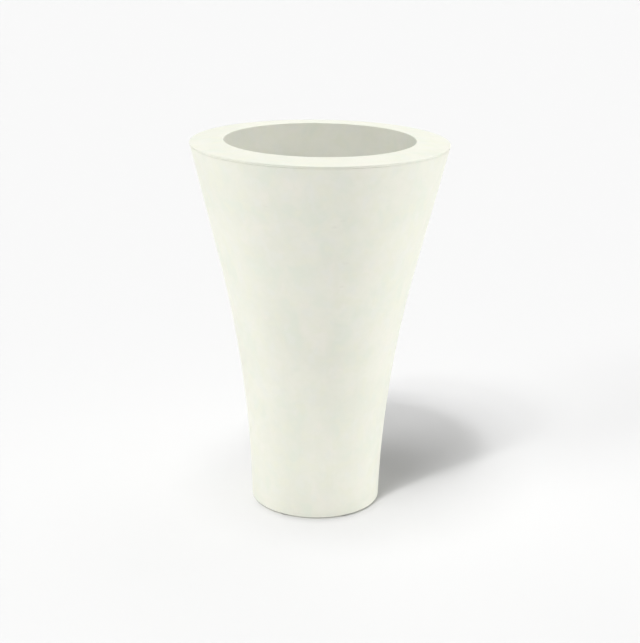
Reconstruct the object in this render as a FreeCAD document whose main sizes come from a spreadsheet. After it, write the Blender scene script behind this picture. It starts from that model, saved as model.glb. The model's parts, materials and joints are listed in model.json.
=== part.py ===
import FreeCAD, Part
import Sketcher
import math
import os
from FreeCAD import Vector, Rotation, Placement

# Tall round planter. Millimetres, +Z up, origin on the floor under the
# centre of the base. The flared outer shell carries a lift-out planting
# liner, which hangs by its lip from a ledge at the foot of the rim's inner
# skirt. The liner drains through a fitting and a pipe to an outlet in the
# raised centre of the base.

doc = FreeCAD.newDocument("tall_planter")

# ---------------------------------------------------------------- dimensions
sheet = doc.addObject("Spreadsheet::Sheet", "Dims")
DIMS = [
    # outer shell
    ("height", 900.0, "floor to the edge of the hole"),
    ("wall", 6.0, "moulded wall of the shell"),
    ("foot_gap", 4.5, "pads hold the base this far off the floor"),
    ("shoulder_radius", 236.3, "outer radius where the curve meets the straight flare"),
    ("shoulder_height", 610.6, "height of that circle"),
    ("curve_radius", 2793.0, "radius of the wall's long curve"),
    ("flare_angle", 13.658, "straight flare, degrees from vertical"),
    ("hole_radius", 225.2, "planting hole"),
    ("rim_fall", 5.5, "the rim falls outwards by this much"),
    ("rim_round", 2.2, "rounding of the rim's outer edge"),
    ("hole_round", 2.0, "rounding of the hole's edge"),
    ("seam_drop", 3.2, "the mould's parting groove lies this far below the rim's corner"),
    ("seam_width", 3.0, "width of that groove"),
    ("seam_depth", 0.75, "depth of that groove"),
    ("base_round", 2.0, "rounding of the base's outer edge"),
    ("inside_round", 8.0, "rounding inside the moulding"),
    ("skirt_depth", 100.0, "inner skirt, from the hole's edge to the ledge"),
    ("skirt_draft", 1.9, "degrees"),
    ("ledge_radius", 210.2, "inner edge of the ledge"),
    ("punt_radius", 118.0, "the base's centre is raised inside this radius"),
    ("punt_rise", 8.0, "height of the raised centre above the base ring"),
    # liner
    ("liner_wall", 4.0, "moulded wall of the liner"),
    ("seat_ring", 3.0, "thickness of the rubber seat ring"),
    ("seat_inner", 211.4, "inner radius of the seat ring"),
    ("seat_outer", 218.3, "outer radius of the seat ring"),
    ("lip_radius", 219.0, "outer radius of the liner's lip"),
    ("liner_top", 203.0, "inner radius at the lip"),
    ("liner_bottom", 180.0, "inner radius at the floor"),
    ("floor_level", 464.0, "top of the liner's floor"),
    ("floor_round", 18.0, "inside corner of the liner"),
    ("sump_radius", 44.0, "recess for the drain fitting"),
    ("sump_depth", 6.0, "depth of that recess"),
    # drain
    ("barrel_radius", 24.0, "thread envelope of the drain fittings"),
    ("barrel_hole", 24.4, "hole that the barrel goes through"),
    ("flange_radius", 36.0, "flange of the drain fittings"),
    ("flange_thick", 4.0, "thickness of the flange"),
    ("seal_thick", 2.0, "thickness of the rubber washers"),
    ("barrel_length", 40.0, "below the flange"),
    ("throat_radius", 17.0, "throat of the drain fitting"),
    ("seat_mouth", 19.5, "mouth of the tapered stopper seat"),
    ("seat_depth", 14.0, "depth of the tapered stopper seat"),
    ("socket_radius", 20.05, "socket for the pipe"),
    ("socket_depth", 24.0, "depth of that socket"),
    ("nut_flats", 66.0, "lock nut across the flats"),
    ("nut_thick", 10.0, "lock nut thickness"),
    ("nut_bore", 24.05, "lock nut bore"),
    ("pipe_radius", 20.0, "drain pipe, outside"),
    ("pipe_bore", 17.8, "drain pipe, inside"),
    ("pipe_foot", 28.0, "height of the pipe's lower end"),
    ("outlet_bore", 16.0, "bore of the base outlet"),
    ("outlet_shelf", 22.0, "height of the shelf inside the outlet cup"),
    ("cup_radius", 21.0, "outlet cup that takes the pipe's end"),
    ("cup_top", 48.0, "height of the cup's edge"),
    # feet
    ("pad_count", 6, "foot pads"),
    ("pad_ring", 139.0, "pitch radius of the pads"),
    ("pad_radius", 14.0, "radius of a pad"),
    ("pad_socket", 2.0, "depth of the socket in the base"),
    ("stem_radius", 4.0, "push-in stem of a pad"),
    ("barb_radius", 5.4, "barb at the end of the stem"),
    # grate
    ("grate_level", 508.0, "underside of the grate's plate"),
    ("grate_thick", 4.0, "plate thickness"),
    ("grate_radius", 181.0, "outer radius of the grate"),
    ("grate_hole", 28.0, "centre hole"),
    ("grate_skirt", 8.0, "depth of the outer skirt below the plate"),
    ("rib_depth", 10.0, "depth of the ribs below the plate"),
    ("rib_thick", 3.0, "thickness of ribs and skirt"),
    ("ring_rib", 104.0, "radius of the ring rib"),
    ("slot_width", 3.6, "width of the drain slots"),
    ("leg_ring", 140.0, "outer legs' pitch radius"),
    ("leg_inner", 64.0, "inner legs' pitch radius"),
    ("leg_radius", 8.0, "radius of a leg"),
    ("leg_bore", 5.5, "bore of a leg"),
    ("leg_foot", 11.0, "foot radius of a leg"),
    ("boss_gap", 0.1, "clearance of a leg in its boss"),
    ("boss_radius", 11.0, "outer radius of a leg's boss"),
    # stopper
    ("bung_gap", 0.3, "clearance of the bung in its seat"),
    ("bung_head", 23.0, "radius of the bung's head"),
    ("bung_head_thick", 5.0, "thickness of that head"),
    ("stem_rod", 5.0, "radius of the stopper's stem"),
    ("cap_radius", 27.0, "radius of the stopper's cap"),
    ("lug_width", 4.0, "lug for the pull ring"),
    ("lug_depth", 7.5, "lug, across the ring's hinge"),
    ("lug_height", 6.2, "height of the lug"),
    ("eye_radius", 2.0, "hole in the lug"),
    ("ring_pitch", 11.0, "radius of the pull ring's centre line"),
    ("ring_wire", 1.5, "radius of its wire"),
    ("ring_lift", 2.3, "hinge height above the cap"),
    # handles
    ("hinge_x", 188.0, "distance of a handle's hinge from the axis"),
    ("hinge_level", 777.0, "height of the handle's hinge"),
    ("bail_wire", 2.5, "radius of the handle's wire"),
    ("bail_arm", 41.0, "half distance between the arms"),
    ("bail_end", 59.0, "half distance between the wire's ends"),
    ("bail_drop", 46.0, "how far the grip hangs below the hinge"),
    ("bail_bend", 8.0, "bend radius of the wire's centre line"),
    ("bracket_mid", 52.0, "middle of a bracket, along Y"),
    ("bracket_width", 13.0, "width of a bracket"),
    ("bracket_face", 190.0, "front face of a bracket's plate"),
    ("bracket_low", 757.0, "bottom of a bracket"),
    ("bracket_high", 797.0, "top of a bracket"),
    ("knuckle_radius", 5.5, "knuckle round the wire"),
    ("knuckle_bore", 2.6, "bore of the knuckle"),
    ("rivet_low", 763.0, "height of the lower rivets"),
    ("rivet_high", 790.0, "height of the upper rivets"),
    ("rivet_radius", 2.0, "rivet shank"),
    ("rivet_hole", 2.1, "rivet hole"),
    ("rivet_head", 3.6, "radius of a rivet's head"),
    ("rivet_head_thick", 1.6, "thickness of that head"),
    ("rivet_tail", 2.9, "radius of the set tail"),
    ("rivet_tail_thick", 1.4, "thickness of the set tail"),
]
for row, (alias, value, note) in enumerate(DIMS, start=1):
    sheet.set("A%d" % row, alias)
    sheet.set("B%d" % row, repr(value))
    sheet.setAlias("B%d" % row, alias)
    sheet.set("C%d" % row, note)
doc.recompute()


def X(text):
    """Turn a formula on bare names into one on the sheet's aliases."""
    out, word = "", ""
    names = {d[0] for d in DIMS}
    for ch in text + " ":
        if ch.isalnum() or ch == "_":
            word += ch
            continue
        out += ("Dims." + word) if word in names else word
        out += ch
        word = ""
    return out.strip()


def value_of(text):
    v = sheet.evalExpression(X(text))
    return float(getattr(v, "Value", v))


def plain(text):
    try:
        float(text)
        return True
    except ValueError:
        return False


# ------------------------------------------------------------------- helpers
def origin_part(body, role):
    for o in body.Origin.OriginFeatures:
        if getattr(o, "Role", "") == role:
            return o
    raise RuntimeError("no origin part " + role)


def new_body(label):
    body = doc.addObject("PartDesign::Body", label)
    body.Label = label
    body.AllowCompound = True
    return body


def new_sketch(body, name, role="XY_Plane", lift=None):
    sk = body.newObject("Sketcher::SketchObject", name)
    sk.AttachmentSupport = [(origin_part(body, role), "")]
    sk.MapMode = "FlatFace"
    if lift is not None:
        sk.AttachmentOffset = Placement(Vector(0, 0, value_of(lift)), Rotation())
        if not plain(lift):
            sk.setExpression("AttachmentOffset.Base.z", X(lift))
    return sk


def bind(sk, kind, args, text):
    index = sk.addConstraint(Sketcher.Constraint(kind, *args, value_of(text)))
    if not plain(text):
        sk.setExpression("Constraints[%d]" % index, X(text))


def loop(sk, verts, arcs=None):
    """Closed outline. verts are pairs of formulas. arcs maps an edge's number
    to (radius formula, side): side +1 has the centre on the left of travel."""
    arcs = arcs or {}
    pts = [Vector(value_of(a), value_of(b), 0) for a, b in verts]
    n = len(pts)
    ends = []
    for i in range(n):
        a, b = pts[i], pts[(i + 1) % n]
        if i in arcs:
            rad_text, side = arcs[i]
            rad = value_of(rad_text)
            mid = (a + b) * 0.5
            d = b - a
            half = d.Length / 2
            up = Vector(-d.y, d.x, 0)
            up.normalize()
            c = mid + up * (side * math.sqrt(max(rad * rad - half * half, 0)))
            aa = math.atan2(a.y - c.y, a.x - c.x)
            ab = math.atan2(b.y - c.y, b.x - c.x)
            circle = Part.Circle(c, Vector(0, 0, 1), rad)
            if side > 0:
                while ab < aa:
                    ab += 2 * math.pi
                g = sk.addGeometry(Part.ArcOfCircle(circle, aa, ab), False)
                ends.append((g, 1, 2))
            else:
                while aa < ab:
                    aa += 2 * math.pi
                g = sk.addGeometry(Part.ArcOfCircle(circle, ab, aa), False)
                ends.append((g, 2, 1))
        else:
            g = sk.addGeometry(Part.LineSegment(a, b), False)
            ends.append((g, 1, 2))
    for i in range(n):
        g, s, e = ends[i]
        g2, s2, e2 = ends[(i + 1) % n]
        sk.addConstraint(Sketcher.Constraint("Coincident", g, e, g2, s2))
    for i in range(n):
        g, s, e = ends[i]
        bind(sk, "DistanceX", (-1, 1, g, s), verts[i][0])
        bind(sk, "DistanceY", (-1, 1, g, s), verts[i][1])
    for i, (rad_text, side) in arcs.items():
        bind(sk, "Radius", (ends[i][0],), rad_text)


def ring(sk, x_text, y_text, rad_text):
    g = sk.addGeometry(
        Part.Circle(Vector(value_of(x_text), value_of(y_text), 0), Vector(0, 0, 1), value_of(rad_text)), False)
    bind(sk, "DistanceX", (-1, 1, g, 3), x_text)
    bind(sk, "DistanceY", (-1, 1, g, 3), y_text)
    bind(sk, "Radius", (g,), rad_text)


def revolve(body, sk, name):
    f = body.newObject("PartDesign::Revolution", name)
    f.Profile = sk
    f.ReferenceAxis = (sk, ["V_Axis"])
    f.Angle = 360.0
    doc.recompute()
    return f


def pad(body, sk, name, length, back=False):
    f = body.newObject("PartDesign::Pad", name)
    f.Profile = sk
    f.Length = value_of(length)
    if not plain(length):
        f.setExpression("Length", X(length))
    f.Reversed = back
    doc.recompute()
    return f


def pocket(body, sk, name, length, back=False):
    doc.recompute()
    before = body.Shape.Volume
    f = body.newObject("PartDesign::Pocket", name)
    f.Profile = sk
    f.Length = value_of(length)
    if not plain(length):
        f.setExpression("Length", X(length))
    f.Reversed = back
    doc.recompute()
    if not body.Shape.Volume < before - 1e-3:
        raise RuntimeError("pocket %s cut nothing" % name)
    return f


def cut_round(body, sk, name):
    doc.recompute()
    before = body.Shape.Volume
    f = body.newObject("PartDesign::Groove", name)
    f.Profile = sk
    f.ReferenceAxis = (sk, ["V_Axis"])
    f.Angle = 360.0
    doc.recompute()
    if not body.Shape.Volume < before - 1e-3:
        raise RuntimeError("groove %s cut nothing" % name)
    return f


def polar(body, originals, name, count):
    f = body.newObject("PartDesign::PolarPattern", name)
    f.Originals = originals
    f.Axis = (origin_part(body, "Z_Axis"), [""])
    f.Angle = 360.0
    f.Occurrences = int(value_of(count))
    if not plain(count):
        f.setExpression("Occurrences", X(count))
    body.Tip = f
    doc.recompute()
    return f


def round_edges(body, name, circles, size):
    """Fillet the circular edges given as (radius formula, height formula)."""
    doc.recompute()
    tip = body.Tip
    names = []
    for rad_text, z_text in circles:
        rad, z = value_of(rad_text), value_of(z_text)
        hit = 0
        for i, e in enumerate(tip.Shape.Edges, start=1):
            c = e.Curve
            if c.TypeId != "Part::GeomCircle":
                continue
            if abs(c.Radius - rad) < 0.02 and abs(c.Center.z - z) < 0.02 \
                    and abs(c.Center.x) < 0.01 and abs(c.Center.y) < 0.01:
                names.append("Edge%d" % i)
                hit += 1
        if not hit:
            raise RuntimeError("no edge for %s in %s" % (rad_text, name))
    f = body.newObject("PartDesign::Fillet", name)
    f.Base = (tip, names)
    f.Radius = value_of(size)
    if not plain(size):
        f.setExpression("Radius", X(size))
    doc.recompute()
    return f


parts = []

# --------------------------------------------------------------- outer shell
# Section of the moulding, going round it once. The wall is a long arc that
# runs tangent into the straight flare.
centre_x = "(shoulder_radius + curve_radius * cos(flare_angle))"
centre_z = "(shoulder_height - curve_radius * sin(flare_angle))"
base_x = "%s - sqrt(curve_radius^2 - (foot_gap - %s)^2)" % (centre_x, centre_z)
floor_z = "(foot_gap + wall)"
floor_x = "%s - sqrt((curve_radius + wall)^2 - (%s - %s)^2)" % (centre_x, floor_z, centre_z)
rim_z = "(height - rim_fall)"
rim_x = "(shoulder_radius + (height - rim_fall - shoulder_height) * tan(flare_angle))"
rim_slope = "(rim_fall / (%s - hole_radius))" % rim_x
rim_drop = "(wall * sqrt(1 + %s^2))" % rim_slope
skirt_z = "(height - skirt_depth)"
skirt_x = "(hole_radius - skirt_depth * tan(skirt_draft))"
skirt_back = "(%s - wall * tan(skirt_draft) + wall / cos(skirt_draft))" % skirt_x
under_x = "(hole_radius + wall / cos(skirt_draft) - wall * tan(skirt_draft))"
under_z = "(height - %s - (%s - hole_radius) * %s)" % (rim_drop, under_x, rim_slope)
wall_a = "(shoulder_radius - shoulder_height * tan(flare_angle) - wall / cos(flare_angle))"
wall_b = "(height + hole_radius * %s - %s)" % (rim_slope, rim_drop)
corner_x = "((%s + tan(flare_angle) * %s) / (1 + tan(flare_angle) * %s))" % (wall_a, wall_b, rim_slope)
corner_z = "(%s - %s * %s)" % (wall_b, rim_slope, corner_x)


def flare(z_text, in_text):
    """A point on the straight flare at a height, or that far inside it."""
    x = "(shoulder_radius + (%s - shoulder_height) * tan(flare_angle) - (%s) / cos(flare_angle))" % (z_text, in_text)
    return (x, "(%s)" % z_text)


shell = new_body("outer_shell")
sk = new_sketch(shell, "shell_section", "XZ_Plane")
loop(sk, [
    ("punt_radius", "foot_gap"),
    (base_x, "foot_gap"),
    ("shoulder_radius", "shoulder_height"),
    (rim_x, rim_z),
    ("hole_radius", "height"),
    (skirt_x, skirt_z),
    ("ledge_radius", skirt_z),
    ("ledge_radius", "%s - wall" % skirt_z),
    (skirt_back, "%s - wall" % skirt_z),
    (under_x, under_z),
    (corner_x, corner_z),
    ("shoulder_radius - wall * cos(flare_angle)", "shoulder_height + wall * sin(flare_angle)"),
    (floor_x, floor_z),
    ("punt_radius + wall * 0.5", floor_z),
    ("punt_radius - wall * 0.5", "%s + punt_rise" % floor_z),
    ("barrel_hole", "%s + punt_rise" % floor_z),
    ("barrel_hole", "foot_gap + punt_rise"),
    ("punt_radius - punt_rise * 0.75", "foot_gap + punt_rise"),
], {1: ("curve_radius", -1), 11: ("curve_radius + wall", 1)})
revolve(shell, sk, "shell_turned")
round_edges(shell, "rim_edge", [(rim_x, rim_z)], "rim_round")
round_edges(shell, "hole_edge", [("hole_radius", "height")], "hole_round")
round_edges(shell, "base_edge", [(base_x, "foot_gap")], "base_round")
round_edges(shell, "inside_corners", [(corner_x, corner_z), (floor_x, floor_z)], "inside_round")
round_edges(shell, "skirt_corner", [(skirt_x, skirt_z)], "3")
round_edges(shell, "ledge_edges", [("ledge_radius", skirt_z), ("ledge_radius", "%s - wall" % skirt_z),
                                   (skirt_back, "%s - wall" % skirt_z)], "2")
round_edges(shell, "punt_edges", [("punt_radius", "foot_gap"), ("punt_radius - wall * 0.5", "%s + punt_rise" % floor_z)],
            "3")
# shallow parting groove of the mould, just under the rim
sk = new_sketch(shell, "seam_section", "XZ_Plane")
loop(sk, [flare("%s - seam_drop - seam_width" % rim_z, "-0.4"),
          flare("%s - seam_drop" % rim_z, "-0.4"),
          flare("%s - seam_drop - seam_width * 0.35" % rim_z, "seam_depth"),
          flare("%s - seam_drop - seam_width * 0.65" % rim_z, "seam_depth")])
cut_round(shell, sk, "parting_groove")
# sockets and stem holes for the pads
sk = new_sketch(shell, "socket_outline", "XY_Plane", "foot_gap + pad_socket")
ring(sk, "pad_ring", "0", "pad_radius + 0.3")
socket = pocket(shell, sk, "pad_socket_cut", "pad_socket + 1")
sk = new_sketch(shell, "stem_outline", "XY_Plane", "foot_gap + wall + 1")
ring(sk, "pad_ring", "0", "stem_radius + 0.1")
stemhole = pocket(shell, sk, "pad_stem_hole", "wall + 2")
polar(shell, [socket, stemhole], "pad_places", "pad_count")
parts.append(shell)

# ------------------------------------------------------------------ foot pads
pads = new_body("foot_pads")
sk = new_sketch(pads, "pad_outline", "XY_Plane")
ring(sk, "pad_ring", "0", "pad_radius")
a = pad(pads, sk, "pad_disc", "foot_gap + pad_socket")
sk = new_sketch(pads, "pad_stem_outline", "XY_Plane", "foot_gap + pad_socket")
ring(sk, "pad_ring", "0", "stem_radius")
b = pad(pads, sk, "pad_stem", "wall - pad_socket")
sk = new_sketch(pads, "pad_barb_outline", "XY_Plane", "foot_gap + wall")
ring(sk, "pad_ring", "0", "barb_radius")
c = pad(pads, sk, "pad_barb", "3")
polar(pads, [a, b, c], "pad_ring_pattern", "pad_count")
parts.append(pads)


# --------------------------------------------------- plain turned ring helper
def turned(label, verts, arcs=None):
    body = new_body(label)
    sk = new_sketch(body, label + "_section", "XZ_Plane")
    loop(sk, verts, arcs)
    revolve(body, sk, label + "_turned")
    parts.append(body)
    return body


seat_z = "(height - skirt_depth)"
lip_z = "(height - skirt_depth + seat_ring)"
seat = turned("liner_seat_ring", [("seat_inner", seat_z), ("seat_outer", seat_z),
                                  ("seat_outer", lip_z), ("seat_inner", lip_z)])
round_edges(seat, "seat_edges", [("seat_inner", lip_z)], "1")

# --------------------------------------------------------------------- liner
floor_under = "(floor_level - liner_wall)"
sump_top = "(floor_level - sump_depth)"
sump_under = "(floor_level - sump_depth - liner_wall)"
lip_top = "(height - skirt_depth + seat_ring + liner_wall)"
liner = turned("planting_liner", [
    ("barrel_hole", sump_under),
    ("sump_radius + liner_wall", sump_under),
    ("sump_radius + liner_wall", floor_under),
    ("liner_bottom + liner_wall", floor_under),
    ("liner_top + liner_wall", lip_z),
    ("lip_radius", lip_z),
    ("lip_radius", lip_top),
    ("liner_top", lip_top),
    ("liner_bottom", "floor_level"),
    ("sump_radius", "floor_level"),
    ("sump_radius", sump_top),
    ("barrel_hole", sump_top),
])
round_edges(liner, "floor_corner_in", [("liner_bottom", "floor_level")], "floor_round")
round_edges(liner, "floor_corner_out", [("liner_bottom + liner_wall", floor_under)], "floor_round + liner_wall")
round_edges(liner, "lip_rounds", [("lip_radius", lip_top), ("lip_radius", lip_z)], "1.5")
round_edges(liner, "mouth_round", [("liner_top", lip_top)], "3")
round_edges(liner, "sump_rounds", [("sump_radius", "floor_level"), ("sump_radius + liner_wall", sump_under)], "2")
# rivet holes for the four brackets, along X, two per bracket
sk = new_sketch(liner, "rivet_hole_outline", "YZ_Plane", "-lip_radius - 5")
for y in ("bracket_mid", "-bracket_mid"):
    for z in ("rivet_low", "rivet_high"):
        ring(sk, y, z, "rivet_hole")
pocket(liner, sk, "rivet_holes", "2 * lip_radius + 10", True)

# ------------------------------------------------------------ drain hardware
drain_seal = turned("drain_seal", [("barrel_hole", sump_top), ("flange_radius", sump_top),
                                   ("flange_radius", "%s + seal_thick" % sump_top),
                                   ("barrel_hole", "%s + seal_thick" % sump_top)])
flange_under = "(floor_level - sump_depth + seal_thick)"
flange_top = "(floor_level - sump_depth + seal_thick + flange_thick)"
barrel_end = "(%s - barrel_length)" % flange_under
fitting = turned("drain_fitting", [
    ("seat_mouth", flange_top),
    ("throat_radius", "%s - seat_depth" % flange_top),
    ("throat_radius", "%s + socket_depth" % barrel_end),
    ("socket_radius", "%s + socket_depth" % barrel_end),
    ("socket_radius", barrel_end),
    ("barrel_radius", barrel_end),
    ("barrel_radius", flange_under),
    ("flange_radius", flange_under),
    ("flange_radius", flange_top),
])
round_edges(fitting, "flange_round", [("flange_radius", flange_top)], "1.5")


def lock_nut(label, low):
    """Hexagon lock nut with its lower face at the height given."""
    body = new_body(label)
    sk = new_sketch(body, label + "_outline", "XY_Plane", low)
    verts = []
    for k in range(6):
        verts.append(("nut_flats / 2 / cos(30) * cos(%d)" % (60 * k), "nut_flats / 2 / cos(30) * sin(%d)" % (60 * k)))
    loop(sk, verts)
    ring(sk, "0", "0", "nut_bore")
    pad(body, sk, label + "_block", "nut_thick")
    parts.append(body)
    return body


lock_nut("drain_nut", "%s - nut_thick" % sump_under)
lock_nut("outlet_nut", "foot_gap + punt_rise + wall")

pipe = turned("drain_pipe", [("pipe_bore", "pipe_foot"), ("pipe_radius", "pipe_foot"),
                             ("pipe_radius", "%s + socket_depth" % barrel_end),
                             ("pipe_bore", "%s + socket_depth" % barrel_end)])
punt_z = "(foot_gap + punt_rise)"
outlet_seal = turned("outlet_seal", [("barrel_hole", "%s - seal_thick" % punt_z),
                                     ("flange_radius", "%s - seal_thick" % punt_z),
                                     ("flange_radius", punt_z), ("barrel_hole", punt_z)])
outlet_low = "(foot_gap + punt_rise - seal_thick - flange_thick)"
outlet = turned("base_outlet", [
    ("outlet_bore", outlet_low),
    ("flange_radius", outlet_low),
    ("flange_radius", "%s + flange_thick" % outlet_low),
    ("barrel_radius", "%s + flange_thick" % outlet_low),
    ("barrel_radius", "cup_top"),
    ("cup_radius", "cup_top"),
    ("cup_radius", "outlet_shelf"),
    ("outlet_bore", "outlet_shelf"),
])
round_edges(outlet, "outlet_flange_round", [("flange_radius", outlet_low)], "1.5")

# --------------------------------------------------------------------- grate
grate = new_body("drain_grate")
plate_top = "(grate_level + grate_thick)"
sk = new_sketch(grate, "plate_section", "XZ_Plane")
loop(sk, [
    ("grate_hole", "grate_level - grate_skirt"),
    ("grate_hole + rib_thick", "grate_level - grate_skirt"),
    ("grate_hole + rib_thick", "grate_level"),
    ("ring_rib", "grate_level"),
    ("ring_rib", "grate_level - rib_depth"),
    ("ring_rib + rib_thick", "grate_level - rib_depth"),
    ("ring_rib + rib_thick", "grate_level"),
    ("grate_radius - rib_thick", "grate_level"),
    ("grate_radius - rib_thick", "grate_level - grate_skirt"),
    ("grate_radius", "grate_level - grate_skirt"),
    ("grate_radius", plate_top),
    ("grate_hole", plate_top),
])
revolve(grate, sk, "plate_turned")
round_edges(grate, "plate_round", [("grate_radius", plate_top), ("grate_hole", plate_top)], "1.2")
# one sector's ribs: a long one at 0 degrees and a short one at 22.5 degrees
sk = new_sketch(grate, "long_rib_outline", "XY_Plane", "grate_level")
loop(sk, [("grate_hole + rib_thick - 1", "-rib_thick / 2"), ("grate_radius - rib_thick + 1", "-rib_thick / 2"),
          ("grate_radius - rib_thick + 1", "rib_thick / 2"), ("grate_hole + rib_thick - 1", "rib_thick / 2")])
rib = pad(grate, sk, "long_rib", "grate_skirt", True)
rib_pattern = polar(grate, [rib], "long_ribs", "8")
sk = new_sketch(grate, "short_rib_outline", "XY_Plane", "grate_level")
c225, s225 = "cos(22.5)", "sin(22.5)"


def spun(r_text, t_text):
    return ("(%s) * %s - (%s) * %s" % (r_text, c225, t_text, s225),
            "(%s) * %s + (%s) * %s" % (r_text, s225, t_text, c225))


loop(sk, [spun("ring_rib + 1", "-rib_thick / 2"), spun("grate_radius - rib_thick + 1", "-rib_thick / 2"),
          spun("grate_radius - rib_thick + 1", "rib_thick / 2"), spun("ring_rib + 1", "rib_thick / 2")])
short = pad(grate, sk, "short_rib", "grate_skirt", True)
polar(grate, [short], "short_ribs", "8")
# bosses that take the legs
sk = new_sketch(grate, "boss_outline", "XY_Plane", "grate_level")
ring(sk, "leg_ring", "0", "boss_radius")
boss = pad(grate, sk, "outer_boss", "rib_depth", True)
sk = new_sketch(grate, "boss_bore_outline", "XY_Plane", "grate_level")
ring(sk, "leg_ring", "0", "leg_radius + boss_gap")
bore = pocket(grate, sk, "outer_boss_bore", "rib_depth + 1")
polar(grate, [boss, bore], "outer_bosses", "8")
sk = new_sketch(grate, "inner_boss_outline", "XY_Plane", "grate_level")
ring(sk, "leg_inner", "0", "boss_radius")
boss = pad(grate, sk, "inner_boss", "rib_depth", True)
sk = new_sketch(grate, "inner_bore_outline", "XY_Plane", "grate_level")
ring(sk, "leg_inner", "0", "leg_radius + boss_gap")
bore = pocket(grate, sk, "inner_boss_bore", "rib_depth + 1")
polar(grate, [boss, bore], "inner_bosses", "4")
# one sector's drain slots, which are arcs round the centre
sk = new_sketch(grate, "slot_outline", "XY_Plane", plate_top)


def slot(r, a0, a1):
    lo, hi = "(%g)" % r, "(%g + slot_width)" % r
    loop(sk, [("%s * cos(%g)" % (lo, a0), "%s * sin(%g)" % (lo, a0)),
              ("%s * cos(%g)" % (hi, a0), "%s * sin(%g)" % (hi, a0)),
              ("%s * cos(%g)" % (hi, a1), "%s * sin(%g)" % (hi, a1)),
              ("%s * cos(%g)" % (lo, a1), "%s * sin(%g)" % (lo, a1))],
         {1: (hi, 1), 3: (lo, -1)})


for r in (38, 48):
    slot(r, 7, 38)
for r in (58, 67):
    slot(r, 12, 33)
for r in (77, 86, 95):
    slot(r, 4, 41)
for r in (112, 121, 130, 139, 148, 157, 166):
    edge = 6.5 if 125 < r < 150 else 3
    slot(r, edge, 20.5)
    slot(r, 24.5, 45 - edge)
cut = pocket(grate, sk, "slots", "grate_thick + 1")
polar(grate, [cut], "slot_sectors", "8")
parts.append(grate)

legs = new_body("grate_legs")
originals = {}
for tag, where, count in (("outer", "leg_ring", "8"), ("inner", "leg_inner", "4")):
    sk = new_sketch(legs, tag + "_foot_outline", "XY_Plane", "floor_level")
    ring(sk, where, "0", "leg_foot")
    ring(sk, where, "0", "leg_bore")
    foot = pad(legs, sk, tag + "_foot", "3")
    sk = new_sketch(legs, tag + "_tube_outline", "XY_Plane", "floor_level + 3")
    ring(sk, where, "0", "leg_radius")
    ring(sk, where, "0", "leg_bore")
    tube = pad(legs, sk, tag + "_tube", "grate_level - floor_level - 3")
    polar(legs, [foot, tube], tag + "_legs", count)
parts.append(legs)

# ------------------------------------------------------------------- stopper
bung = turned("stopper_bung", [
    ("stem_rod", "%s - seat_depth + 1" % flange_top),
    ("throat_radius - bung_gap + (seat_mouth - throat_radius) / seat_depth", "%s - seat_depth + 1" % flange_top),
    ("seat_mouth - bung_gap", flange_top),
    ("bung_head", flange_top),
    ("bung_head", "%s + bung_head_thick" % flange_top),
    ("stem_rod", "%s + bung_head_thick" % flange_top),
])
round_edges(bung, "bung_round", [("bung_head", "%s + bung_head_thick" % flange_top)], "1.5")

stem = turned("stopper_stem", [
    ("0", "%s - seat_depth - 2" % flange_top),
    ("stem_rod + 3", "%s - seat_depth - 2" % flange_top),
    ("stem_rod + 3", "%s - seat_depth + 1" % flange_top),
    ("stem_rod", "%s - seat_depth + 1" % flange_top),
    ("stem_rod", "%s + bung_head_thick" % flange_top),
    ("stem_rod + 3", "%s + bung_head_thick" % flange_top),
    ("stem_rod + 3", "%s + bung_head_thick + 3" % flange_top),
    ("stem_rod", "%s + bung_head_thick + 3" % flange_top),
    ("stem_rod", "grate_level"),
    ("cap_radius", "grate_level"),
    ("cap_radius", plate_top),
    ("0", plate_top),
])
round_edges(stem, "cap_round", [("cap_radius", plate_top)], "1")
sk = new_sketch(stem, "lug_outline", "XY_Plane", plate_top)
loop(sk, [("-lug_width / 2", "-lug_depth / 2"), ("lug_width / 2", "-lug_depth / 2"),
          ("lug_width / 2", "lug_depth / 2"), ("-lug_width / 2", "lug_depth / 2")])
pad(stem, sk, "lug", "lug_height")
sk = new_sketch(stem, "eye_outline", "YZ_Plane", "-lug_width")
ring(sk, "0", "%s + ring_lift" % plate_top, "eye_radius")
pocket(stem, sk, "eye", "lug_width * 2", True)

pull = new_body("stopper_ring")
sk = new_sketch(pull, "ring_section", "XZ_Plane")
ring(sk, "ring_pitch", "0", "ring_wire")
revolve(pull, sk, "ring_turned")
pull.Placement = Placement(Vector(0, value_of("ring_pitch"), value_of("%s + ring_lift" % plate_top)), Rotation())
pull.setExpression("Placement.Base.y", X("ring_pitch"))
pull.setExpression("Placement.Base.z", X("%s + ring_lift" % plate_top))
parts.append(pull)


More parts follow.
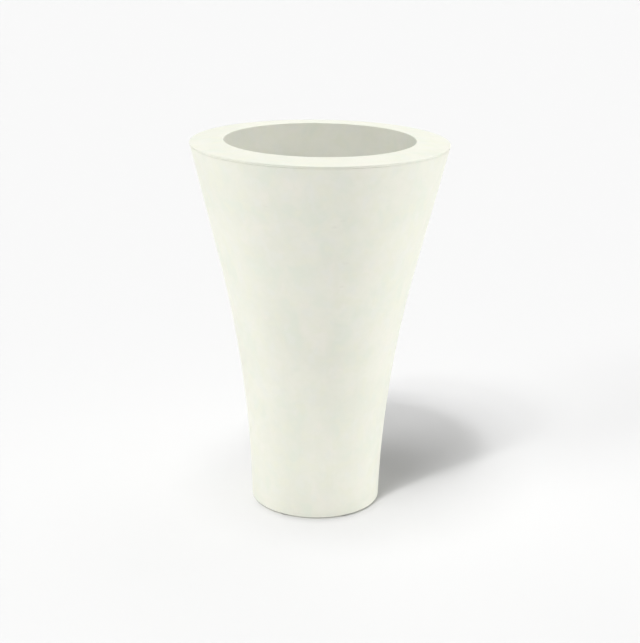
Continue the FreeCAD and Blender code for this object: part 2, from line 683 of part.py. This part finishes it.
# ------------------------------------------------------------------- handles
def bail(label, side):
    """Wire handle that hangs from its two brackets on one side."""
    body = new_body(label)
    path = new_sketch(body, label + "_path", "YZ_Plane", "%s * hinge_x" % side)
    end, arm, drop, bend = (value_of(v) for v in ("bail_end", "bail_arm", "bail_drop", "bail_bend"))
    top = value_of("hinge_level")
    low = top - drop
    pts = [(-end, top), (-arm - bend, top), (-arm, top - bend), (-arm, low + bend), (-arm + bend, low),
           (arm - bend, low), (arm, low + bend), (arm, top - bend), (arm + bend, top), (end, top)]
    names = [("-bail_end", "hinge_level"), ("-bail_arm - bail_bend", "hinge_level"),
             ("-bail_arm", "hinge_level - bail_bend"), ("-bail_arm", "hinge_level - bail_drop + bail_bend"),
             ("-bail_arm + bail_bend", "hinge_level - bail_drop"), ("bail_arm - bail_bend", "hinge_level - bail_drop"),
             ("bail_arm", "hinge_level - bail_drop + bail_bend"), ("bail_arm", "hinge_level - bail_bend"),
             ("bail_arm + bail_bend", "hinge_level"), ("bail_end", "hinge_level")]
    centre = {1: (-arm - bend, top - bend), 3: (-arm + bend, low + bend), 5: (arm - bend, low + bend),
              7: (arm + bend, top - bend)}
    turn = {1: -1, 3: 1, 5: 1, 7: -1}
    ends = []
    for i in range(9):
        a, b = Vector(pts[i][0], pts[i][1], 0), Vector(pts[i + 1][0], pts[i + 1][1], 0)
        if i in centre:
            c = Vector(centre[i][0], centre[i][1], 0)
            aa = math.atan2(a.y - c.y, a.x - c.x)
            ab = math.atan2(b.y - c.y, b.x - c.x)
            circle = Part.Circle(c, Vector(0, 0, 1), bend)
            if turn[i] > 0:
                while ab < aa:
                    ab += 2 * math.pi
                ends.append((path.addGeometry(Part.ArcOfCircle(circle, aa, ab), False), 1, 2))
            else:
                while aa < ab:
                    aa += 2 * math.pi
                ends.append((path.addGeometry(Part.ArcOfCircle(circle, ab, aa), False), 2, 1))
        else:
            ends.append((path.addGeometry(Part.LineSegment(a, b), False), 1, 2))
    for i in range(8):
        path.addConstraint(Sketcher.Constraint("Coincident", ends[i][0], ends[i][2], ends[i + 1][0], ends[i + 1][1]))
    for i in range(9):
        bind(path, "DistanceX", (-1, 1, ends[i][0], ends[i][1]), names[i][0])
        bind(path, "DistanceY", (-1, 1, ends[i][0], ends[i][1]), names[i][1])
    bind(path, "DistanceX", (-1, 1, ends[8][0], ends[8][2]), names[9][0])
    bind(path, "DistanceY", (-1, 1, ends[8][0], ends[8][2]), names[9][1])
    for i in (1, 3, 5, 7):
        bind(path, "Radius", (ends[i][0],), "bail_bend")
    section = new_sketch(body, label + "_section", "XZ_Plane", "bail_end")
    ring(section, "%s * hinge_x" % side, "hinge_level", "bail_wire")
    doc.recompute()
    f = body.newObject("PartDesign::AdditivePipe", label + "_wire")
    f.Profile = section
    f.Spine = (path, [])
    f.Mode = "Standard"
    doc.recompute()
    parts.append(body)
    return body


bail("handle_left", "-1")
bail("handle_right", "1")

# Brackets: a plate on the liner's wall with a knuckle for the wire. They are
# trimmed to the liner's inner cone, so that their backs lie on the wall.
block = new_body("bracket_blocks")
for i, side in enumerate(("1", "-1")):
    for k, mid in enumerate(("bracket_mid", "-bracket_mid")):
        tag = "%d%d" % (i, k)
        face_lo, face_hi = ("bracket_face", "lip_radius") if side == "1" else ("-lip_radius", "-bracket_face")
        sk = new_sketch(block, "plate_outline_" + tag, "XY_Plane", "bracket_low")
        loop(sk, [(face_lo, "%s - bracket_width / 2" % mid), (face_hi, "%s - bracket_width / 2" % mid),
                  (face_hi, "%s + bracket_width / 2" % mid), (face_lo, "%s + bracket_width / 2" % mid)])
        pad(block, sk, "bracket_plate_" + tag, "bracket_high - bracket_low")
        sk = new_sketch(block, "knuckle_outline_" + tag, "XZ_Plane", "-(%s) - bracket_width / 2" % mid)
        ring(sk, "%s * hinge_x" % side, "hinge_level", "knuckle_radius")
        pad(block, sk, "knuckle_" + tag, "bracket_width")
sk = new_sketch(block, "knuckle_bores", "XZ_Plane", "-lip_radius")
ring(sk, "hinge_x", "hinge_level", "knuckle_bore")
ring(sk, "-hinge_x", "hinge_level", "knuckle_bore")
pocket(block, sk, "knuckle_bore_cut", "lip_radius * 2", True)
sk = new_sketch(block, "bracket_rivet_holes", "YZ_Plane", "-lip_radius - 5")
for y in ("bracket_mid", "-bracket_mid"):
    for z in ("rivet_low", "rivet_high"):
        ring(sk, y, z, "rivet_hole")
pocket(block, sk, "bracket_rivet_cut", "2 * lip_radius + 10", True)

cone = doc.addObject("Part::Cone", "liner_inside")
cone.setExpression("Radius1", X("liner_bottom"))
cone.setExpression("Radius2", X("liner_top"))
cone.setExpression("Height", X("%s - floor_level" % lip_top))
cone.setExpression("Placement.Base.z", X("floor_level"))
brackets = doc.addObject("Part::Common", "handle_brackets")
brackets.Base = block
brackets.Tool = cone
doc.recompute()
parts.append(brackets)

# Rivets: head on the plate's face, shank through plate and liner, set tail.
rivets = new_body("bracket_rivets")
slope = "((liner_top - liner_bottom) / (%s - floor_level))" % lip_top
for i, side in enumerate(("1", "-1")):
    for k, mid in enumerate(("bracket_mid", "-bracket_mid")):
        for j, z in enumerate(("rivet_low", "rivet_high")):
            tag = "%d%d%d" % (i, k, j)
            out = "(sqrt((liner_bottom + liner_wall + (%s + 3 - floor_level) * %s)^2 - (bracket_mid - 3)^2) + 0.15)" % (z, slope)
            back = side == "-1"
            for name, start, size, length in (
                    ("head", "bracket_face - rivet_head_thick", "rivet_head", "rivet_head_thick"),
                    ("shank", "bracket_face", "rivet_radius", "%s - bracket_face" % out),
                    ("tail", out, "rivet_tail", "rivet_tail_thick")):
                lift = start if not back else "-(%s)" % start
                sk = new_sketch(rivets, "%s_%s" % (name, tag), "YZ_Plane", lift)
                ring(sk, mid, z, size)
                pad(rivets, sk, "rivet_%s_%s" % (name, tag), length, back)
parts.append(rivets)

# ------------------------------------------------------------ check and write
doc.recompute()
bad = []
for obj in doc.Objects:
    if any(word in str(state) for state in obj.State for word in ("Invalid", "Error")):
        bad.append("%s: %s" % (obj.Name, obj.State))
for obj in parts:
    shape = obj.Shape
    if shape.isNull() or not shape.isValid() or not shape.Solids:
        bad.append("%s: null or not valid" % obj.Label)
if bad:
    raise RuntimeError("; ".join(bad))

os.makedirs("parts", exist_ok=True)
for obj in parts:
    shape = obj.Shape
    shape.exportStep("parts/%s.step" % obj.Label)
    box = shape.BoundBox
    print("%-18s solids %2d  volume %10.1f  x %.1f..%.1f y %.1f..%.1f z %.1f..%.1f" % (
        obj.Label, len(shape.Solids), shape.Volume, box.XMin, box.XMax, box.YMin, box.YMax, box.ZMin, box.ZMax))
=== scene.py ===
import bpy
import json
import math
from mathutils import Matrix, Vector

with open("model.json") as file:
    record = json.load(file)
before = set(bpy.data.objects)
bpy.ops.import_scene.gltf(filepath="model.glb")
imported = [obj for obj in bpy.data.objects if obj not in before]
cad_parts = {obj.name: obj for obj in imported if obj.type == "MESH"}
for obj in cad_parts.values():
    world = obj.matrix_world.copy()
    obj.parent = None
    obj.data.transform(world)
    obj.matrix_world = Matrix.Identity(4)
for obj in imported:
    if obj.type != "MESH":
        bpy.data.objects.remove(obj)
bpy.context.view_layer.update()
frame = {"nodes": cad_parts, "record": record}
nodes = frame["nodes"]
scene = bpy.context.scene


# ----------------------------------------------------------------- materials
class Surface:
    """A material with a Principled shader, and short names for its nodes."""

    def __init__(self, name, colour, roughness, **plain):
        self.mat = bpy.data.materials.new(name)
        self.mat.use_nodes = True
        self.tree = self.mat.node_tree
        self.tree.nodes.clear()
        self.out = self.new("ShaderNodeOutputMaterial")
        self.shader = self.new("ShaderNodeBsdfPrincipled")
        self.link(self.shader.outputs["BSDF"], self.out.inputs["Surface"])
        self.shader.inputs["Base Color"].default_value = (*colour, 1.0)
        self.shader.inputs["Roughness"].default_value = roughness
        for key, value in plain.items():
            self.shader.inputs[key.replace("_", " ")].default_value = value
        self.where = self.new("ShaderNodeTexCoord").outputs["Object"]
        self.bumps = None

    def new(self, kind):
        return self.tree.nodes.new(kind)

    def link(self, a, b):
        self.tree.links.new(a, b)

    def put(self, socket, value):
        if hasattr(value, "links"):
            self.link(value, socket)
        else:
            socket.default_value = value

    def stretch(self, x, y, z, turn=(0, 0, 0), shift=(0, 0, 0), source=None):
        m = self.new("ShaderNodeMapping")
        self.link(source or self.where, m.inputs["Vector"])
        m.inputs["Scale"].default_value = (x, y, z)
        m.inputs["Rotation"].default_value = turn
        m.inputs["Location"].default_value = shift
        return m.outputs["Vector"]

    def noise(self, size, detail=2.0, rough=0.5, warp=0.0, source=None):
        """Smooth noise whose blobs are about `size` metres across."""
        n = self.new("ShaderNodeTexNoise")
        self.link(source or self.where, n.inputs["Vector"])
        n.inputs["Scale"].default_value = 0.5 / size
        n.inputs["Detail"].default_value = detail
        n.inputs["Roughness"].default_value = rough
        n.inputs["Distortion"].default_value = warp
        return n.outputs["Fac"]

    def cells(self, size, feature="F1", out="Distance", source=None):
        n = self.new("ShaderNodeTexVoronoi")
        n.feature = feature
        self.link(source or self.where, n.inputs["Vector"])
        n.inputs["Scale"].default_value = 1.0 / size
        return n.outputs[out]

    def ramp(self, fac, lo, hi, out_lo=0.0, out_hi=1.0, smooth=True):
        r = self.new("ShaderNodeMapRange")
        r.interpolation_type = "SMOOTHSTEP" if smooth else "LINEAR"
        r.clamp = True
        self.link(fac, r.inputs["Value"])
        r.inputs["From Min"].default_value = lo
        r.inputs["From Max"].default_value = hi
        r.inputs["To Min"].default_value = out_lo
        r.inputs["To Max"].default_value = out_hi
        return r.outputs["Result"]

    def math(self, op, a, b=0.0, c=0.0):
        n = self.new("ShaderNodeMath")
        n.operation = op
        for i, v in enumerate((a, b, c)):
            if i < len(n.inputs):
                self.put(n.inputs[i], v)
        return n.outputs[0]

    def blend(self, fac, a, b, mode="MIX"):
        n = self.new("ShaderNodeMix")
        n.data_type = "RGBA"
        n.blend_type = mode
        n.clamp_result = False
        self.put(n.inputs["Factor"], fac)
        for socket, v in ((n.inputs[6], a), (n.inputs[7], b)):
            if isinstance(v, tuple):
                v = (*v, 1.0)
            self.put(socket, v)
        return n.outputs[2]

    def near(self, point, reach, squeeze=(1, 1, 1)):
        """1 at a point, falling smoothly to 0 at the distance given."""
        s = self.new("ShaderNodeVectorMath")
        s.operation = "SUBTRACT"
        self.link(self.where, s.inputs[0])
        s.inputs[1].default_value = point
        q = self.new("ShaderNodeVectorMath")
        q.operation = "MULTIPLY"
        self.link(s.outputs[0], q.inputs[0])
        q.inputs[1].default_value = squeeze
        d = self.new("ShaderNodeVectorMath")
        d.operation = "LENGTH"
        self.link(q.outputs[0], d.inputs[0])
        return self.ramp(d.outputs["Value"], 0.0, reach, 1.0, 0.0)

    def xyz(self):
        s = self.new("ShaderNodeSeparateXYZ")
        self.link(self.where, s.inputs[0])
        return s.outputs

    def colour(self, value):
        self.link(value, self.shader.inputs["Base Color"])

    def roughness(self, value):
        self.link(value, self.shader.inputs["Roughness"])

    def bump(self, height, depth, strength=1.0):
        b = self.new("ShaderNodeBump")
        b.inputs["Strength"].default_value = strength
        b.inputs["Distance"].default_value = depth
        self.link(height, b.inputs["Height"])
        if self.bumps is not None:
            self.link(self.bumps, b.inputs["Normal"])
        self.bumps = b.outputs["Normal"]
        self.link(self.bumps, self.shader.inputs["Normal"])


def shell_surface():
    """Matt off-white moulded plastic with a faint mottle and a fine skin."""
    base = (0.796, 0.800, 0.703)
    s = Surface("shell_white", base, 0.52, Specular_IOR_Level=0.42)
    cloud = s.noise(0.085, 3.0, 0.55)
    patch = s.noise(0.026, 2.5, 0.5, 0.4, s.stretch(1.0, 1.0, 0.8, shift=(3.1, 1.7, 0.4)))
    fleck = s.noise(0.0075, 2.0, 0.55)
    warmth = s.noise(0.016, 1.5, 0.5, 0.2, s.stretch(1.0, 1.0, 0.9, shift=(0.6, 5.2, 2.8)))
    tone = s.blend(s.ramp(cloud, 0.32, 0.68), (0.777, 0.783, 0.686), (0.815, 0.817, 0.720))
    tone = s.blend(s.ramp(patch, 0.48, 0.70, 0.0, 0.75), tone, (0.755, 0.787, 0.686))
    tone = s.blend(s.ramp(patch, 0.46, 0.28, 0.0, 0.65), tone, (0.829, 0.811, 0.727))
    tone = s.blend(s.ramp(warmth, 0.52, 0.70, 0.0, 0.60), tone, (0.797, 0.802, 0.678))
    tone = s.blend(s.ramp(warmth, 0.46, 0.30, 0.0, 0.60), tone, (0.793, 0.801, 0.729))
    tone = s.blend(s.ramp(fleck, 0.35, 0.75, 0.0, 0.20), tone, (0.748, 0.752, 0.652))
    # a few slight moulding marks on the front, a little dull and a little raised
    marks = 0.0
    for place, reach in (
        ((-0.118, -0.256, 0.794), 0.006),
        ((0.034, -0.269, 0.752), 0.008),
        ((0.052, -0.270, 0.767), 0.006),
        ((0.063, -0.242, 0.665), 0.008),
        ((0.055, -0.229, 0.607), 0.006),
    ):
        marks = s.math("ADD", marks, s.near(place, reach, (0.6, 0.6, 1.6)))
    tone = s.blend(s.math("MULTIPLY", marks, 0.45), tone, (0.735, 0.738, 0.645))
    s.colour(tone)
    s.roughness(s.ramp(s.noise(0.045, 4.0, 0.6), 0.25, 0.75, 0.46, 0.60))
    s.bump(s.noise(0.060, 2.0, 0.5), 0.0010, 0.25)
    s.bump(s.noise(0.0022, 3.0, 0.6), 0.00012, 0.55)
    s.bump(marks, 0.0006, 0.7)
    return s.mat


def liner_surface():
    """Dark grey moulded plastic with a stippled skin, scuffs and lime dust."""
    s = Surface("liner_grey", (0.060, 0.061, 0.060), 0.62, Specular_IOR_Level=0.45)
    cloud = s.noise(0.060, 4.0, 0.6)
    scuff = s.noise(0.010, 5.0, 0.65, 1.2, s.stretch(1.0, 1.0, 7.0))
    dust = s.noise(0.0040, 3.0, 0.7)
    tone = s.blend(s.ramp(cloud, 0.30, 0.70), (0.050, 0.051, 0.050), (0.074, 0.075, 0.073))
    tone = s.blend(s.ramp(scuff, 0.60, 0.80, 0.0, 0.45), tone, (0.135, 0.135, 0.130))
    tone = s.blend(s.ramp(dust, 0.58, 0.78, 0.0, 0.22), tone, (0.20, 0.195, 0.18))
    s.colour(tone)
    s.roughness(s.ramp(s.noise(0.020, 4.0, 0.6), 0.25, 0.75, 0.54, 0.72))
    s.bump(s.cells(0.0016, "SMOOTH_F1"), 0.00016, 0.5)
    s.bump(cloud, 0.0012, 0.25)
    return s.mat


def rubber_surface(name, deep, bloomed, dust):
    """Soft rubber, dulled by a bloom and fine dust."""
    s = Surface(name, deep, 0.75, Specular_IOR_Level=0.35)
    bloom = s.noise(0.012, 4.0, 0.65)
    grit = s.noise(0.0016, 3.0, 0.7)
    tone = s.blend(s.ramp(bloom, 0.35, 0.75), deep, bloomed)
    tone = s.blend(s.ramp(grit, 0.60, 0.80, 0.0, 0.35), tone, dust)
    s.colour(tone)
    s.roughness(s.ramp(bloom, 0.25, 0.75, 0.66, 0.86))
    s.bump(s.noise(0.0009, 2.0, 0.6), 0.00008, 0.6)
    return s.mat


def fitting_surface(name, dark, pale, rough_lo, rough_hi):
    """Injection-moulded plastic: slight flow marks and a fine even grain."""
    mid = tuple((a + b) / 2 for a, b in zip(dark, pale))
    s = Surface(name, mid, (rough_lo + rough_hi) / 2, Specular_IOR_Level=0.5)
    flow = s.noise(0.030, 4.0, 0.55, 1.6)
    fine = s.noise(0.0030, 3.0, 0.6)
    tone = s.blend(s.ramp(flow, 0.28, 0.72), dark, pale)
    tone = s.blend(s.ramp(fine, 0.55, 0.80, 0.0, 0.20), tone, tuple(v * 0.80 for v in dark))
    s.colour(tone)
    s.roughness(s.ramp(s.noise(0.012, 3.0, 0.6), 0.25, 0.75, rough_lo, rough_hi))
    s.bump(s.noise(0.0007, 2.0, 0.5), 0.00005, 0.5)
    s.bump(flow, 0.0003, 0.3)
    return s.mat


def pipe_surface():
    """Extruded pipe: fine streaks along its length and a soft gloss."""
    s = Surface("pipe_grey", (0.20, 0.205, 0.21), 0.36, Specular_IOR_Level=0.5)
    streak = s.noise(0.0016, 3.0, 0.6, 0.0, s.stretch(1.0, 1.0, 0.02))
    cloud = s.noise(0.035, 3.0, 0.6)
    tone = s.blend(s.ramp(streak, 0.30, 0.72), (0.185, 0.190, 0.195), (0.222, 0.226, 0.230))
    tone = s.blend(s.ramp(cloud, 0.50, 0.80, 0.0, 0.35), tone, (0.245, 0.245, 0.24))
    s.colour(tone)
    s.roughness(s.ramp(cloud, 0.25, 0.75, 0.30, 0.44))
    s.bump(streak, 0.00006, 0.5)
    return s.mat


def wire_surface():
    """Drawn stainless wire: bright metal with fine lines and rub marks."""
    s = Surface("steel_wire", (0.60, 0.595, 0.58), 0.28, Metallic=1.0)
    lines = s.noise(0.0006, 2.0, 0.6, 0.0, s.stretch(1.0, 0.03, 1.0))
    rub = s.noise(0.006, 4.0, 0.65)
    tone = s.blend(s.ramp(rub, 0.30, 0.72), (0.54, 0.535, 0.52), (0.66, 0.655, 0.64))
    s.colour(tone)
    s.roughness(s.ramp(rub, 0.25, 0.78, 0.22, 0.40))
    s.bump(lines, 0.00004, 0.5)
    return s.mat


def rivet_surface():
    """Set aluminium rivets: dull bright metal with small dents."""
    s = Surface("rivet_alu", (0.68, 0.68, 0.69), 0.38, Metallic=1.0)
    dent = s.cells(0.0011, "SMOOTH_F1")
    cloud = s.noise(0.0016, 3.0, 0.6)
    s.colour(s.blend(s.ramp(cloud, 0.3, 0.7), (0.60, 0.60, 0.61), (0.74, 0.74, 0.75)))
    s.roughness(s.ramp(cloud, 0.25, 0.75, 0.30, 0.50))
    s.bump(dent, 0.0001, 0.5)
    return s.mat


def bracket_surface():
    """Black moulded nylon with a spark-eroded grain."""
    s = Surface("bracket_black", (0.028, 0.028, 0.029), 0.55, Specular_IOR_Level=0.5)
    grain = s.cells(0.0007, "SMOOTH_F1")
    rub = s.noise(0.0040, 4.0, 0.65)
    s.colour(s.blend(s.ramp(rub, 0.45, 0.75), (0.024, 0.024, 0.025), (0.062, 0.062, 0.062)))
    s.roughness(s.ramp(rub, 0.25, 0.75, 0.48, 0.66))
    s.bump(grain, 0.00007, 0.6)
    return s.mat


def grate_surface():
    """Dark grey moulded plastic with fine grain and water marks."""
    s = Surface("grate_grey", (0.075, 0.078, 0.079), 0.55, Specular_IOR_Level=0.5)
    cloud = s.noise(0.040, 4.0, 0.6)
    tide = s.noise(0.022, 3.0, 0.6, 2.2)
    fine = s.noise(0.0035, 3.0, 0.7)
    tone = s.blend(s.ramp(cloud, 0.30, 0.70), (0.066, 0.069, 0.070), (0.092, 0.095, 0.096))
    ring = s.math("SUBTRACT", 1.0, s.math("MULTIPLY", s.math("ABSOLUTE", s.math("SUBTRACT", tide, 0.52)), 22.0))
    tone = s.blend(s.ramp(ring, 0.0, 1.0, 0.0, 0.30), tone, (0.155, 0.152, 0.142))
    tone = s.blend(s.ramp(fine, 0.60, 0.80, 0.0, 0.25), tone, (0.16, 0.155, 0.145))
    s.colour(tone)
    s.roughness(s.ramp(cloud, 0.25, 0.75, 0.48, 0.66))
    s.bump(s.cells(0.0012, "SMOOTH_F1"), 0.00008, 0.5)
    return s.mat


SURFACES = {
    "shell_white": shell_surface(),
    "liner_grey": liner_surface(),
    "rubber_black": rubber_surface("rubber_black", (0.018, 0.018, 0.019), (0.040, 0.040, 0.040), (0.11, 0.108, 0.10)),
    "pad_rubber": rubber_surface("pad_rubber", (0.34, 0.34, 0.33), (0.42, 0.42, 0.41), (0.25, 0.25, 0.24)),
    "drain_grey": fitting_surface("drain_grey", (0.115, 0.118, 0.122), (0.150, 0.153, 0.157), 0.34, 0.48),
    "pipe_grey": pipe_surface(),
    "steel_wire": wire_surface(),
    "rivet_alu": rivet_surface(),
    "bracket_black": bracket_surface(),
    "grate_grey": grate_surface(),
    "stopper_plastic": fitting_surface("stopper_plastic", (0.52, 0.52, 0.48), (0.60, 0.60, 0.56), 0.30, 0.42),
}
SLOT_OF = {p["node"]: p["material_slot"] for p in frame["record"]["subparts"]}
SLOT_OF["foot_pads"] = "pad_rubber"  # the pads' rubber is paler than the seals'
for name, obj in nodes.items():
    obj.data.materials.clear()
    obj.data.materials.append(SURFACES[SLOT_OF[name]])
    for poly in obj.data.polygons:
        poly.material_index = 0


# --------------------------------------------------------------------- stage
FLOOR_TONE = 0.55


def round_floor():
    """A very wide pale floor, finer near the object."""
    rings = [0.5, 1.0, 2.0, 4.0, 9.0, 20.0, 50.0, 120.0, 300.0]
    count = 96
    verts, faces = [(0.0, 0.0, 0.0)], []
    for r in rings:
        for k in range(count):
            a = 2 * math.pi * k / count
            verts.append((r * math.cos(a), r * math.sin(a), 0.0))
    for k in range(count):
        faces.append((0, 1 + k, 1 + (k + 1) % count))
    for i in range(len(rings) - 1):
        lo, hi = 1 + i * count, 1 + (i + 1) * count
        for k in range(count):
            j = (k + 1) % count
            faces.append((lo + k, hi + k, hi + j, lo + j))
    mesh = bpy.data.meshes.new("floor")
    mesh.from_pydata(verts, [], faces)
    mesh.update()
    obj = bpy.data.objects.new("floor", mesh)
    scene.collection.objects.link(obj)
    # plain and matt apart from a painted contact shadow: its colour darkens just in front of the base
    pale = (FLOOR_TONE, FLOOR_TONE, FLOOR_TONE)
    s = Surface("floor_pale", pale, 1.0, Specular_IOR_Level=0.0)
    x, y, z = s.xyz()
    r = s.math("SQRT", s.math("ADD", s.math("MULTIPLY", x, x), s.math("MULTIPLY", y, y)))
    close = s.math("MULTIPLY", s.ramp(r, 0.1580, 0.1880, 1.0, 0.0, smooth=False), s.ramp(r, 0.1560, 0.1580))
    front = s.math("MAXIMUM", s.math("DIVIDE", s.math("MULTIPLY", y, -1.0), r), 0.0)
    shade = s.math("MULTIPLY", s.math("POWER", close, 2.0), s.math("POWER", front, 2.0))
    # painted shadow: the colour is up to a quarter darker at the base's front edge, fading out over 30 mm
    s.colour(s.blend(s.math("MULTIPLY", shade, 0.25), pale, (0.0, 0.0, 0.0)))
    mesh.materials.append(s.mat)
    return obj


floor = round_floor()

# World: an even studio surround. The camera sees it at the floor's tone.
# Reflections see a brighter surround than the soft light that it gives.
BACKDROP = 0.956
AROUND = 0.12
MIRRORED = 0.90
world = bpy.data.worlds.new("studio")
scene.world = world
world.use_nodes = True
wt = world.node_tree
wt.nodes.clear()
w_out = wt.nodes.new("ShaderNodeOutputWorld")
w_mix = wt.nodes.new("ShaderNodeMixShader")
w_path = wt.nodes.new("ShaderNodeLightPath")
w_light = wt.nodes.new("ShaderNodeBackground")
w_seen = wt.nodes.new("ShaderNodeBackground")
w_gloss = wt.nodes.new("ShaderNodeBackground")
w_pick = wt.nodes.new("ShaderNodeMixShader")
w_light.name = "around"
w_gloss.name = "mirrored"
w_gloss.inputs["Color"].default_value = (1.0, 1.0, 1.0, 1.0)
w_gloss.inputs["Strength"].default_value = MIRRORED
w_light.inputs["Color"].default_value = (1.0, 1.0, 1.0, 1.0)
w_light.inputs["Strength"].default_value = AROUND
w_seen.inputs["Color"].default_value = (BACKDROP, BACKDROP, BACKDROP, 1.0)
w_seen.inputs["Strength"].default_value = 1.0
wt.links.new(w_path.outputs["Is Camera Ray"], w_mix.inputs[0])
wt.links.new(w_path.outputs["Is Glossy Ray"], w_pick.inputs[0])
wt.links.new(w_light.outputs[0], w_pick.inputs[1])
wt.links.new(w_gloss.outputs[0], w_pick.inputs[2])
wt.links.new(w_pick.outputs[0], w_mix.inputs[1])
wt.links.new(w_seen.outputs[0], w_mix.inputs[2])
wt.links.new(w_mix.outputs[0], w_out.inputs["Surface"])

# Lights. The floor's lights reach only the floor and make its soft shadow;
# the object's lights reach only the object.
only_floor = bpy.data.collections.new("only_floor")
only_floor.objects.link(floor)
not_floor = bpy.data.collections.new("not_floor")
not_floor.objects.link(floor)
not_floor.collection_objects[0].light_linking.link_state = "EXCLUDE"
floor_apart = bpy.data.collections.new("floor_apart")
floor_apart.objects.link(floor)
floor_apart.collection_objects[0].light_linking.link_state = "EXCLUDE"


def sun(name, towards, strength, width, receivers=None, blockers=None, shadow=True):
    """Distant light. towards points at the light; width is its diameter in degrees."""
    data = bpy.data.lights.new(name, "SUN")
    data.energy = strength
    data.angle = math.radians(width)
    data.use_shadow = shadow
    obj = bpy.data.objects.new(name, data)
    obj.rotation_euler = Vector(towards).to_track_quat("Z", "Y").to_euler()
    obj.location = Vector(towards).normalized() * 5.0
    scene.collection.objects.link(obj)
    if receivers is not None:
        obj.light_linking.receiver_collection = receivers
    if blockers is not None:
        obj.light_linking.blocker_collection = blockers
    return obj


# How much of the open floor's tone each floor light gives: elevation, direction
# that its shadow falls in, radius of its disc, tone. A fill with no shadow, the
# surround and the light off the object give the rest.
FLOOR_FILL = 0.0925
FLOOR_SUNS = [
    (80, 50, 12, 0.242), (64, 70, 4, 0.138), (60, 61, 2, 0.057), (54, 58, 2, 0.055), (66, 66, 2, 0.045),
    (25, 30, 12, 0.043), (68, 65, 2, 0.043), (60, 230, 15, 0.040), (75, 180, 15, 0.039), (50, 56, 2, 0.025),
    (35, 270, 15, 0.023), (33, 40, 6, 0.021), (35, 310, 15, 0.019),
]
for i, (high, way, radius, tone) in enumerate(FLOOR_SUNS):
    e, p = math.radians(high), math.radians(way)
    to = (-math.cos(p) * math.cos(e), -math.sin(p) * math.cos(e), math.sin(e))
    sun("floor_sun_%02d" % i, to, tone / FLOOR_TONE * math.pi / math.sin(e), 2 * radius, receivers=only_floor)
sun("floor_fill", (0, 0, 1), FLOOR_FILL / FLOOR_TONE * math.pi, 20, receivers=only_floor, shadow=False)


def aim(azimuth, elevation):
    a, e = math.radians(azimuth), math.radians(elevation)
    return (math.cos(a) * math.cos(e), math.sin(a) * math.cos(e), math.sin(e))


# azimuth of the light from +X, elevation, diameter, strength
OBJECT_SUNS = {
    "left_low": (180, -12, 40, 0.674),
    "right_high": (8, 25, 40, 0.342),
    "right_edge": (12, -5, 12, 1.050),
    "left_edge": (168, -5, 12, 0.470),
    "top": (-90, 89, 50, 1.564),
    "front_steep": (-90, 75, 20, 0.719),
    "back_steep": (90, 75, 20, 0.719),
    "left_top": (180, 60, 30, 0.129),
    "below": (-90, -60, 60, 0.924),
}
for name, (azimuth, elevation, width, strength) in OBJECT_SUNS.items():
    sun(name, aim(azimuth, elevation), strength, width, receivers=not_floor, blockers=floor_apart)

# Small lamps near the object: one in the hole, the others low beside the base.
# place, radius, watts
LAMPS = {
    "well": ((0.0, 0.0, 0.86), 0.06, 0.868),
    "low_right": ((0.75, 0.0, 0.12), 0.25, 0.998),
    "low_front": ((0.0, -0.45, 0.08), 0.12, 0.666),
    "low_back": ((0.0, 0.45, 0.08), 0.12, 0.666),
    "near_left": ((-0.45, 0.0, 0.08), 0.12, 0.350),
}
for name, (place, size, watts) in LAMPS.items():
    data = bpy.data.lights.new(name, "POINT")
    data.energy = watts
    data.shadow_soft_size = size
    lamp = bpy.data.objects.new(name, data)
    lamp.location = place
    lamp.visible_camera = False
    lamp.visible_glossy = False
    scene.collection.objects.link(lamp)
    lamp.light_linking.receiver_collection = not_floor
    if name != "well":
        lamp.light_linking.blocker_collection = floor_apart

# -------------------------------------------------------------------- camera
view = bpy.data.cameras.new("camera")
view.sensor_fit = "AUTO"
view.sensor_width = 36.0
view.lens = 1420.6 * 36.0 / 643.0
view.shift_x = 2.47 / 643.0
view.shift_y = -0.53 / 643.0
view.clip_start = 0.05
view.clip_end = 1000.0
view.dof.use_dof = False
camera = bpy.data.objects.new("camera", view)
scene.collection.objects.link(camera)
TILT = math.radians(17.451)
FAR = 3.4530
aim_at = Vector((0.0, 0.0, 0.4535))
spot = aim_at + Vector((0.0, -FAR * math.cos(TILT), FAR * math.sin(TILT)))
turn = (aim_at - spot).to_track_quat("-Z", "Y").to_matrix().to_4x4()
camera.matrix_world = Matrix.Translation(spot) @ turn @ Matrix.Rotation(math.radians(0.80), 4, "Z")
scene.camera = camera

scene.view_settings.view_transform = "Standard"
scene.view_settings.look = "None"
scene.view_settings.exposure = 0.0
scene.view_settings.gamma = 1.0
